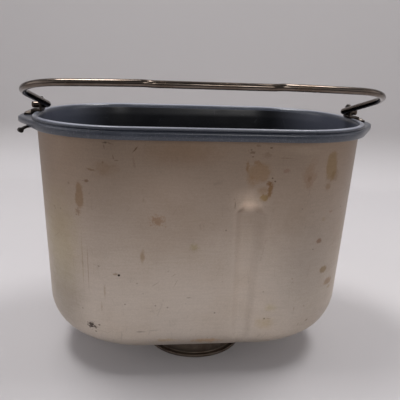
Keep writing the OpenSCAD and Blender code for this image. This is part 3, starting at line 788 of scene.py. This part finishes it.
@dataclass
class PanShell:
    """The drawn pan with its rim, skirt, ears and kneading ribs, in millimetres.

    The rows of out_turn are distances from the body's face, and those of down_turn from the skirt's inner
    face, each with a height over the flange's underside. The rows of lip are distances from the body's face
    at the ends and at the sides, with a height over the flange's top.
    """

    half_length: float = 92.5
    half_width: float = 57.5
    flange_z: float = 145.3
    bottom_z: float = 15.6
    sheet: float = 1.5
    flange_sheet: float = 1.2
    end_lean: float = math.tan(math.radians(0.9))
    side_lean: float = math.tan(math.radians(4.1))
    corner_top: float = 50.4
    corner_low: float = 44.8
    end_bottom: float = 24.0
    side_bottom: float = 11.5
    least_straight: float = 0.5
    ear_tip: float = 104.2
    ear_slant: float = math.radians(90 / 11 * 4)
    ear_blend: float = 1.6
    skirt_out: float = 3.4
    skirt_z: float = 141.0
    skirt_lift: float = 1.1
    skirt_fillet: float = 1.2
    skirt_hem: float = 0.25
    rise_start: float = 1.15
    rise_span: float = 0.9
    rib_x: float = 22.5
    rib_depth: float = 3.3
    rib_low_depth: float = 1.3
    rib_half: float = 3.0
    rib_edge: float = 1.5
    rib_flat: float = 0.25
    rib_top_z: float = 102.5
    rib_fade: float = 14.0
    neck_r: float = 10.0
    wall_end: float = 3.0
    level_step: float = 3.5
    fine_step: float = 1.0
    fine_margins: Point = (4.0, 1.0)
    lined_rows: int = 3
    fillet_steps: int = 6
    bottom_steps: int = 14
    corner_steps: int = 34
    end_steps: int = 4
    side_steps: tuple[int, ...] = (16, 24, 5)
    floor_shares: tuple[float, ...] = (0.0, 0.12, 0.3, 0.55, 0.8)
    out_turn: tuple[Point, ...] = ((0.05, -1.2), (0.35, -0.5), (1.0, -0.05), (1.5, 0.0))
    down_turn: tuple[Point, ...] = ((0.5, 0.0), (0.1, -0.15), (0.0, -0.6))
    lip: tuple[Size, ...] = (
        (2.9, 2.35, 0.0), (2.6, 2.2, 0.02), (2.45, 2.3, 0.2), (2.45, 2.75, 0.45), (2.42, 2.98, 0.8),
        (2.3, 3.02, 1.1), (2.0, 2.9, 1.45), (1.5, 2.62, 1.76), (1.0, 2.25, 1.94), (0.5, 1.8, 2.0),
        (0.1, 1.35, 1.97), (-0.35, 0.85, 1.82), (-0.75, 0.3, 1.5), (-1.05, -0.25, 1.0), (-1.3, -0.75, 0.3),
        (-1.42, -1.1, -0.6), (-1.48, -1.35, -1.6), (-1.5, -1.5, -3.0))

    def _pull(self, radius: float, h: float) -> float:
        """Gives how far a bottom radius pulls a wall in at a height above the bottom."""
        return 0.0 if h >= radius else radius - math.sqrt(radius ** 2 - (radius - h) ** 2)

    def _wall(self, z: float, inside: float = 0.0) -> Size:
        """Measures the wall at a height.

        Args:
            z: The height.
            inside: Distance inside the wall's outer face.

        Returns:
            Half length, half width and corner radius.
        """
        h, drop = z - self.bottom_z, self.flange_z - z
        a = self.half_length - drop * self.end_lean - self._pull(self.end_bottom, h)
        b = self.half_width - drop * self.side_lean - self._pull(self.side_bottom, h)
        r = self.corner_low + (self.corner_top - self.corner_low) * h / (self.flange_z - self.bottom_z)
        return a - inside, b - inside, min(r, b - self.least_straight) - inside

    def _rib(self, z: float) -> float:
        """Measures a rib, which is shallow at its foot and ends in a sloping shoulder.

        Args:
            z: The height.

        Returns:
            The rib's depth.
        """
        up = z - self.bottom_z
        deepening = share(up / (self.rib_top_z - self.bottom_z))
        depth = self.rib_low_depth + (self.rib_depth - self.rib_low_depth) * deepening
        return depth * share(up / self.side_bottom) * (1 - share((z - self.rib_top_z) / self.rib_fade)) ** 2

    def _stations(self, size: Size, rib: float = 0.0) -> list[tuple[float, float, float, float]]:
        """Gives the stations of a ring, of which the far half is the near half turned half a turn.

        Args:
            size: Half length, half width and corner radius.
            rib: Rib depth.

        Returns:
            For each station its x, y and outward normal.
        """
        a, b, r = size
        cx, cy = a - r, b - r
        bend = [(math.cos(t), math.sin(t)) for t in quarter(self.corner_steps)[:-1]]
        half = [(-a, cy - 2 * cy * k / self.end_steps, -1.0, 0.0) for k in range(self.end_steps)]
        half += [(-cx - r * c, -cy - r * s, -c, -s) for c, s in bend]
        reach = self.rib_half + 2 * rib
        left, right = self.rib_x - reach - self.rib_edge, self.rib_x + reach + self.rib_edge
        for start, end, steps in zip((-cx, left, right), (left, right, cx), self.side_steps):
            for x in (start + (end - start) * k / steps for k in range(steps)):
                slope = share((abs(x - self.rib_x) / reach - self.rib_flat) / (1 - self.rib_flat))
                half.append((x, -b + rib * (1 + math.cos(math.pi * slope)) / 2, 0.0, -1.0))
        half += [(cx + r * s, -cy - r * c, s, -c) for c, s in bend]
        return half + [(-x, -y, -nx, -ny) for x, y, nx, ny in half]

    def _ring(self, size: Size, z: float, rib: float = 0.0) -> Ring:
        """Makes a plain ring of the given size at a height."""
        return [Vector((x, y, z)) * MM for x, y, _, _ in self._stations(size, rib)]

    def _rim(self, end: float, side: float, z: float) -> Ring:
        """Makes a ring that stands off the body's face by a distance at the ends and one at the sides."""
        b, r = self.half_width + side, self.corner_top + (end + side) / 2
        return self._ring((self.half_length + end, b, min(r, b - self.least_straight)), z)

    def _ear(self, inset: float, z: float, lift: float = 0.0) -> Ring:
        """Makes a ring that follows the flange's edge out around both ears.

        Args:
            inset: Distance inside the skirt's outer face.
            z: Height along the sides.
            lift: How much higher it is at the tips of the ears.

        Returns:
            The ring.
        """
        a, b, r = self.half_length, self.half_width, self.corner_top
        out, tip, slant, blend = self.skirt_out - inset, self.ear_tip - inset, self.ear_slant, self.ear_blend
        ring = []
        for x, y, nx, ny in self._stations((a, b, r)):
            phi, reach = math.atan2(abs(ny), abs(nx)), out
            if phi < slant:
                to_end = (tip - a + r) / math.cos(phi) - r
                before_corner = max(0.0, b - r - abs(y)) * math.sin(slant)
                to_slant = (r + out + before_corner) / math.cos(phi - slant) - r
                # The nearer of the two, with the corner between them blended.
                low = min(to_end, to_slant)
                both = sum(math.exp((low - way) / blend) for way in (to_end, to_slant))
                reach = max(out, low - blend * math.log(both))
            rise = share((self.rise_start - phi / slant) / self.rise_span)
            rise = lift * rise * rise * (3 - 2 * rise)
            ring.append(Vector((x + nx * reach, y + ny * reach, z + rise)) * MM)
        return ring

    def _floor_rings(self, z: float, size: Size) -> list[Ring]:
        """Makes rings on the flat bottom at a height, from the neck's hole to an outline's size."""
        edge = [Vector((x, y)) for x, y, _, _ in self._stations(size)]
        return [[Vector((*(p.normalized() * self.neck_r).lerp(p, t), z)) * MM for p in edge]
                for t in self.floor_shares]

    def _levels(self) -> list[float]:
        """Sets the heights of the wall's rings, round the bottom radius and up.

        Returns:
            The heights, which are closer together over the ribs' shoulders.
        """
        top = self.flange_z - self.flange_sheet - self.wall_end
        below, above = self.fine_margins
        levels = [self.bottom_z + self.end_bottom * (1 - math.cos(t)) for t in quarter(self.bottom_steps)]
        z = levels[-1] + self.level_step
        while z < top:
            levels.append(z)
            fine = self.rib_top_z - below < z < self.rib_top_z + self.rib_fade + above
            z += self.fine_step if fine else self.level_step
        return levels + [top]

    def _skirt(self) -> list[Ring]:
        """Makes the rings of the flange and the skirt.

        Returns:
            The rings, from the flange's underside round the skirt's edge to its upper edge.
        """
        top, sheet, fillet, hem = self.flange_z, self.flange_sheet, self.skirt_fillet, self.skirt_hem
        edge = ((sheet, 0.8 * hem), (sheet - hem, 0.0), (hem, 0.0), (0.0, hem))
        rings = [self._ear(sheet + inset, top - sheet + up) for inset, up in self.down_turn]
        rings += [self._ear(inset, self.skirt_z + up, self.skirt_lift) for inset, up in edge]
        rings.append(self._ear(0.0, top - fillet - 0.1))
        for t in quarter(self.fillet_steps)[1:]:
            rings.append(self._ear(fillet * (1 - math.cos(t)), top - fillet * (1 - math.sin(t))))
        return rings

    def build(self, *finishes: Material) -> None:
        """Builds the shell as one closed mesh.

        Args:
            *finishes: Finish of the outside, of the rim with the skirt, and of the inside.
        """
        levels, sheet, bottom = self._levels(), self.sheet, self.bottom_z
        rings = self._floor_rings(bottom, self._wall(bottom))
        rings += [self._ring(self._wall(z), z, self._rib(z)) for z in levels]
        rings += [self._rim(out, out, self.flange_z - self.flange_sheet + up) for out, up in self.out_turn]
        bare = len(rings)
        rings += self._skirt()
        rings += [self._rim(end, side, self.flange_z + up) for end, side, up in self.lip]
        lined = len(rings) - self.lined_rows
        for z in reversed(levels):
            lift = sheet * (1 - share((z - bottom) / self.end_bottom))
            rings.append(self._ring(self._wall(z, sheet), z + lift, self._rib(z)))
        rings += reversed(self._floor_rings(bottom + sheet, self._wall(bottom, sheet)))

        def finish_of(band: int) -> int:
            """Gives 0 outside, 1 on the rim and 2 inside."""
            return 0 if band < bare or band == len(rings) - 1 else 1 + (band >= lined)

        piece = add_piece("pan_with_rim", loft(rings, True, finish_of), list(finishes), 50.0)
        settle(piece, Body.PAN, Slot.ALUMINIUM, "pan_shell")


@dataclass
class BailHandle:
    """The wire bail, in millimetres in its own plane, then turned to its stored angle."""

    radius: float = 1.75
    pivot_z: float = 150.6
    lift: float = math.radians(15.2)
    tip_x: float = 97.0
    leg: float = 5.95
    leg_bend: float = 3.0
    arm: float = 30.6
    bend: float = 24.0
    splay: float = 7.2
    bow_start: float = 6.5
    bow_end: float = 3.5
    jog_r: float = 9.0
    jog: float = 21.0
    grip: float = 27.0
    step: float = 1.2
    sides: int = 22
    tip_rings: int = 4
    tip_bulge: float = 0.35

    def _half(self) -> list[Point]:
        """Works out one half of the wire, from its leg to the middle of its grip.

        Returns:
            Its moves: a length and no turn, or a radius and a turn in degrees.
        """
        moves = [(self.leg, 0.0), (self.leg_bend, -90 - self.splay), (self.arm, 0.0),
                 (self.bend, 90 + self.splay - self.bow_start)]
        start, end, jog = (math.sin(math.radians(v)) for v in (self.bow_start, self.bow_end, self.jog))
        bow_x = self.tip_x - self._walk(moves)[-1].x - self.grip - self.jog_r * (2 * jog + end)
        return moves + [(bow_x / (start - end), self.bow_start - self.bow_end),
                        (self.jog_r, self.bow_end + self.jog), (self.jog_r, -self.jog), (self.grip, 0.0)]

    def _walk(self, moves: list[Point]) -> list[Vector]:
        """Follows moves in the bail's plane.

        Args:
            moves: Lengths with no turn, and radii with a turn in degrees.

        Returns:
            Points about a step apart.
        """
        at, heading, points = Vector((0.0, 0.0)), 0.0, [Vector((0.0, 0.0))]
        for size, turn in moves:
            angle = math.radians(turn)
            steps = max(2, min(40, round((size * abs(angle) if turn else size) / self.step)))
            for k in range(1, steps + 1):
                now = heading + angle * k / steps
                way = Vector((math.cos(heading), math.sin(heading))) * k / steps
                if turn:
                    way = Vector((math.sin(now) - math.sin(heading), math.cos(heading) - math.cos(now)))
                points.append(at + way * size * math.copysign(1, turn))
            at, heading = points[-1], heading + angle
        return points

    def _wire(self, path: list[Vector]) -> Mesh:
        """Sweeps the wire's section along a path, with rounded tips.

        Args:
            path: Points along the centreline, in metres.

        Returns:
            The mesh under construction.
        """
        last, radius = len(path) - 1, self.radius * MM
        bulge = radius * self.tip_bulge
        nose = [(radius * math.cos(t), bulge * math.sin(t)) for t in quarter(self.tip_rings)[:-1]]
        sections = {0: [(r, -shift) for r, shift in reversed(nose)], last: nose}
        side = (path[1] - path[0]).normalized().orthogonal().normalized()
        rings = []
        for i, point in enumerate(path):
            along = (path[min(last, i + 1)] - path[max(0, i - 1)]).normalized()
            side = (side - along * side.dot(along)).normalized()
            other = along.cross(side)
            for r, shift in sections.get(i, [(radius, 0.0)]):
                rings.append([point + along * shift + (side * math.cos(t) + other * math.sin(t)) * r
                              for t in circle(self.sides)])
        return loft(rings)

    def build(self, finish: Material) -> None:
        """Builds the bail.

        Args:
            finish: Its wire's finish.
        """
        flat = [Vector((p.x - self.tip_x, p.y)) for p in self._walk(self._half())]
        flat += [Vector((-p.x, p.y)) for p in reversed(flat[:-1])]
        across, down = math.cos(self.lift), math.sin(self.lift)
        path = [Vector((p.x, p.y * across, self.pivot_z - p.y * down)) * MM for p in flat]
        settle(add_piece("wire_bail", self._wire(path), [finish], 45.0), Body.BAIL, Slot.WIRE, "bail_handle")


@dataclass
class EarFittings:
    """What sits on the ears: both bail brackets, their rivets and the curled strip under the left one."""

    bracket_easing: float = 0.16
    tongue_easing: float = 0.14

    def build(self, sheet: Material, rivet: Material, strip: Material) -> None:
        """Builds the brackets and the strip, and dresses the rivets.

        Args:
            sheet: The brackets' finish.
            rivet: The rivets' finish.
            strip: The strip's finish.
        """
        for side in ("left", "right"):
            node = f"{side}_bracket"
            ease(node, f"{side}_bail_bracket", sheet, self.bracket_easing, Body.PAN, Slot.BRACKET)
            dress(rivet, f"{node}_rivets")
        ease("under_ear_tongue", "curled_tongue", strip, self.tongue_easing, Body.PAN, Slot.TONGUE)


@dataclass
class FootRing:
    """The pressed ring that the pan stands on, in millimetres."""

    bore: float = 27.8
    wall: float = 29.0
    edge: float = 32.4
    seat: float = 36.4
    height: float = 15.6
    sheet: float = 1.2
    edge_height: float = 2.0
    notch: float = 7.5
    notch_share: float = 0.02
    steps: int = 192

    def _notched(self, radius: float, z: float, angle: float) -> float:
        """Pulls the foot's edge in to the wall inside the two notches.

        Args:
            radius: A point's radius.
            z: Its height.
            angle: Its angle round the ring.

        Returns:
            The radius it gets.
        """
        foot = z <= self.edge_height + self.sheet / 2 and radius > self.wall
        notched = foot and abs(self.edge * math.sin(angle)) < self.notch
        return self.wall + self.notch_share * (radius - self.wall) if notched else radius

    def build(self, finish: Material, rivet: Material) -> None:
        """Builds the ring and dresses its rivets.

        Args:
            finish: The ring's finish.
            rivet: The rivets' finish.
        """
        inner, top = self.edge - self.sheet, self.height - self.sheet
        corners = [(self.bore, 0.0, 1.3), (self.edge, 0.0, 1.3), (self.edge, self.edge_height, 0.35),
                   (inner, self.edge_height, 0.35), (inner, self.sheet, 0.3), (self.wall, self.sheet, 0.8),
                   (self.wall, top, 1.2), (self.seat, top, 0.3), (self.seat, self.height, 0.3),
                   (self.bore, self.height, 1.3)]
        mesh = lathe(corners, self.steps, self._notched)
        settle(add_piece("pressed_foot_ring", mesh, [finish], 40.0), Body.PAN, Slot.FOOT, "foot_ring")
        dress(rivet, "foot_ring_rivets")


@dataclass
class BottomDrive:
    """The bearing, seal, shaft and coupling in the pan's bottom."""

    easing: float = 0.25

    def build(self, finishes: Finishes) -> None:
        """Builds the eased pieces and dresses the rest.

        Args:
            finishes: The part's finishes.
        """
        metal, width = finishes.metal, self.easing
        ease("bearing_housing", "cast_bearing_housing", metal["cast"], width, Body.PAN, Slot.HOUSING)
        ease("drive_coupling", "winged_coupling", metal["coupling"], width, Body.DRIVE, Slot.COUPLING)
        dress(metal["bronze"], "lower_bush", "upper_bush", "thrust_washer")
        dress(metal["clip"], "shaft_clip", "coupling_pin")
        dress(metal["rivet"], "housing_rivets")
        dress(metal["cast"], "seal_cap")
        dress(metal["shaft"], "drive_shaft")
        dress(finishes.rubber, "shaft_seal")


@dataclass
class KneadingPaddle:
    """The lift-off paddle: a hub with a skirt round the neck, and a swept blade, in millimetres."""

    bore: float = 4.1
    low: float = 19.3
    skirt_in: float = 11.0
    skirt_out: float = 13.0
    seat: float = 26.9
    top: float = 46.3
    hub: float = 8.0
    root: float = 7.0
    reach: float = 33.7
    height: float = 22.6
    tip_height: float = 2.2
    half_thickness: float = 1.45
    sweep_x: float = 6.0
    tip_share: float = 0.1
    thinnest: float = 0.12
    spacing: float = 1.6
    face_power: float = 0.55
    edge_power: float = 0.25
    tip_over: float = 0.3
    foot_gap: float = 0.1
    hub_steps: int = 72
    blade_steps: int = 22
    sides: int = 28

    def _section(self, t: float) -> Ring:
        """Makes one section of the blade.

        Args:
            t: Its place from the root, 0, to the tip, 1.

        Returns:
            Its ring, a rounded upright slab.
        """
        x = self.root + (self.reach - self.root) * (1 - (1 - t) ** self.spacing)
        arc = (self.reach + self.tip_over - self.sweep_x) ** 2 - max(0.0, x - self.sweep_x) ** 2
        high = max(self.tip_height, min(self.height, math.sqrt(arc))) / 2
        past = max(0.0, (t - 1 + self.tip_share) / self.tip_share)
        thick = self.half_thickness * math.sqrt(max(self.thinnest, 1 - past ** 2))
        ring = []
        for c, s in ((math.cos(angle), math.sin(angle)) for angle in circle(self.sides)):
            y = math.copysign(abs(c) ** self.face_power, c)
            up = math.copysign(abs(s) ** self.edge_power, s)
            ring.append(Vector((x, thick * y, self.low + self.foot_gap + high + high * up)) * MM)
        return ring

    def build(self, finish: Material) -> None:
        """Builds the paddle.

        Args:
            finish: Its coating.
        """
        corners = [(self.skirt_in, self.low, 0.4), (self.skirt_out, self.low, 0.5),
                   (self.skirt_out - 0.4, self.seat + 0.5, 2.5), (self.hub + 1, self.seat + 5.5, 3.0),
                   (self.hub, self.top - 1, 1.2), (self.hub - 1, self.top, 1.0), (self.bore, self.top, 0.4),
                   (self.bore, self.seat, 0.2), (self.skirt_in, self.seat, 0.6)]
        mesh = lathe(corners, self.hub_steps)
        blade = loft([self._section(k / self.blade_steps) for k in range(self.blade_steps + 1)])
        data = bpy.data.meshes.new("blade_only")
        blade.to_mesh(data)
        blade.free()
        mesh.from_mesh(data)
        bpy.data.meshes.remove(data)
        settle(add_piece("coated_paddle", mesh, [finish], 42.0), Body.PADDLE, Slot.COATING, "kneading_paddle")


# --- the studio


@dataclass(frozen=True)
class Lamp:
    """One soft lamp that faces a point, in metres and watts."""

    name: str
    at: Size
    aim: Size
    size: Point
    power: float
    colour: Colour = (1.0, 0.99, 0.99)

    def hang(self) -> None:
        """Puts the lamp in the scene."""
        data = bpy.data.lights.new(self.name, "AREA")
        data.shape = "RECTANGLE"
        data.size, data.size_y = self.size
        data.energy, data.color = self.power, self.colour
        lamp = add_object(self.name, data)
        lamp.location = self.at
        lamp.rotation_mode = "QUATERNION"
        lamp.rotation_quaternion = (Vector(self.aim) - Vector(self.at)).to_track_quat("-Z", "Y")


@dataclass
class Studio:
    """The table, the backdrop, the lamps, the world and the camera, in metres and the eye in millimetres.

    The rows behind, sides, below and above each give a range of the direction, and how bright the world is at
    its two ends.
    """

    eye: Size = (-29.65, -279.701, 178.247)
    turn: Size = (-0.112, -0.293, -0.036)
    focal: float = 463.516
    frame_px: float = 400.0
    sensor: float = 36.0
    table_colour: Colour = (204, 201, 202)
    cloud_colour: Colour = (196, 194, 198)
    wall_colour: Colour = (190, 187, 187)
    room_colour: Colour = (250, 248, 252)
    near_edge: float = -0.4
    table_rows: Point = (-0.2, 0.2)
    far_edge: float = 0.37
    cove: float = 0.08
    cove_steps: int = 12
    wall_top: float = 2.2
    widths: tuple[float, ...] = (-2.4, -0.8, 0.0, 0.8, 2.4)
    behind: tuple[float, ...] = (-0.5, 0.5, 0.25, 1.2)
    sides: tuple[float, ...] = (0.3, 0.9, 0.0, 0.6)
    below: tuple[float, ...] = (-0.05, 0.05, 0.15, 1.0)
    above: tuple[float, ...] = (0.25, 0.8, 1.0, 0.35)
    lamps: tuple[Lamp, ...] = (
        Lamp("left_soft", (-0.32, 0.04, 1.2), (-0.05, 0.0, 0.0), (0.42, 0.26), 6.8),
        Lamp("right_soft", (0.46, 0.04, 1.2), (0.05, 0.0, 0.0), (0.44, 0.26), 5.8),
        Lamp("front_high", (0.22, -0.84, 0.48), (0.02, -0.05, 0.1), (0.3, 0.16), 1.2, (1.0, 0.99, 0.98)))

    def _surface(self) -> Material:
        """Builds the pale, faintly mottled finish of table and backdrop.

        Returns:
            Its material.
        """
        material, b, surface = new_material("pale_paper")
        place = b.place()
        cloud = b.effect(EFFECTS.clouds, place, Scale=3.0, Low=0.3, High=0.7)
        colour = b.coat(srgb(self.table_colour), cloud, 0.25, self.cloud_colour)
        _, _, z = b.axes(place)
        colour = b.blend(b.span(z, 0.0, self.cove), colour, srgb(self.wall_colour))
        b.feed(surface, {"Base Color": colour, "Roughness": 0.85, "Specular IOR Level": 0.2,
                         "Normal": b.bump(b.noise(place, 350.0, 3.0), 0.1, 0.0003)})
        return material

    def build_stage(self) -> None:
        """Builds the table and the backdrop, which curves up behind it."""
        profile = [(self.near_edge, -0.02), (self.near_edge + 0.01, 0.0)]
        profile += [(y, 0.0) for y in (*self.table_rows, self.far_edge)]
        for t in quarter(self.cove_steps)[1:]:
            profile.append((self.far_edge + self.cove * math.sin(t), self.cove * (1 - math.cos(t))))
        profile.append((self.far_edge + self.cove, self.wall_top))
        mesh = bmesh.new()
        turn = Matrix.Rotation(self.turn[0], 3, "Z")
        rows = [[mesh.verts.new(turn @ Vector((x, y, z))) for x in self.widths] for y, z in profile]
        for low, high in zip(rows, rows[1:]):
            for i in range(len(low) - 1):
                mesh.faces.new((low[i], low[i + 1], high[i + 1], high[i]))
        sweep_piece = add_piece("table_and_backdrop", mesh, [self._surface()], 60.0)

    def build_light(self) -> None:
        """Hangs the lamps and sets the world."""
        for lamp in self.lamps:
            lamp.hang()
        world = bpy.data.worlds.new("pale_room")
        bpy.context.scene.world = world
        world.use_nodes = True
        b = NodeBench(world.node_tree)
        x, y, z = b.axes(b.add("TexCoord").outputs["Generated"])
        round_about = b.math("ADD", b.span(y, *self.behind), b.span(b.math("ABSOLUTE", x), *self.sides))
        strength = b.times(b.times(round_about, b.span(z, *self.below)), b.span(z, *self.above))
        room = b.add("Background", {"Color": srgb(self.room_colour), "Strength": strength})
        b.add("OutputWorld", {"Surface": room.outputs[0]})
        bpy.context.scene.view_settings.view_transform = "Standard"

    def build_camera(self) -> None:
        """Places the camera."""
        rotation = Matrix.Identity(3)
        for angle, axis in zip((*self.turn, math.pi / 2), "ZXYX"):
            rotation = rotation @ Matrix.Rotation(angle, 3, axis)
        data = bpy.data.cameras.new("view_camera")
        data.sensor_width = self.sensor
        data.lens = self.focal * self.sensor / self.frame_px
        data.clip_start, data.clip_end = 0.01, 20.0
        camera = add_object("view_camera", data)
        camera.matrix_world = Matrix.Translation(Vector(self.eye) * MM) @ rotation.to_4x4()
        bpy.context.scene.camera = camera


def main() -> None:
    """Builds every piece in order, then the camera, the table and the light."""
    logging.basicConfig(level=logging.INFO, format="%(name)s: %(message)s")
    finishes = Finishes()
    PanShell().build(finishes.aluminium, finishes.coating, finishes.shaded_lining)
    metal = finishes.metal
    BailHandle().build(metal["wire"])
    EarFittings().build(metal["bracket"], metal["rivet"], metal["tongue"])
    FootRing().build(metal["foot"], metal["rivet"])
    BottomDrive().build(finishes)
    KneadingPaddle().build(finishes.shaded_lining)
    studio = Studio()
    studio.build_camera()
    studio.build_stage()
    studio.build_light()


if __name__ == "__main__":
    main()
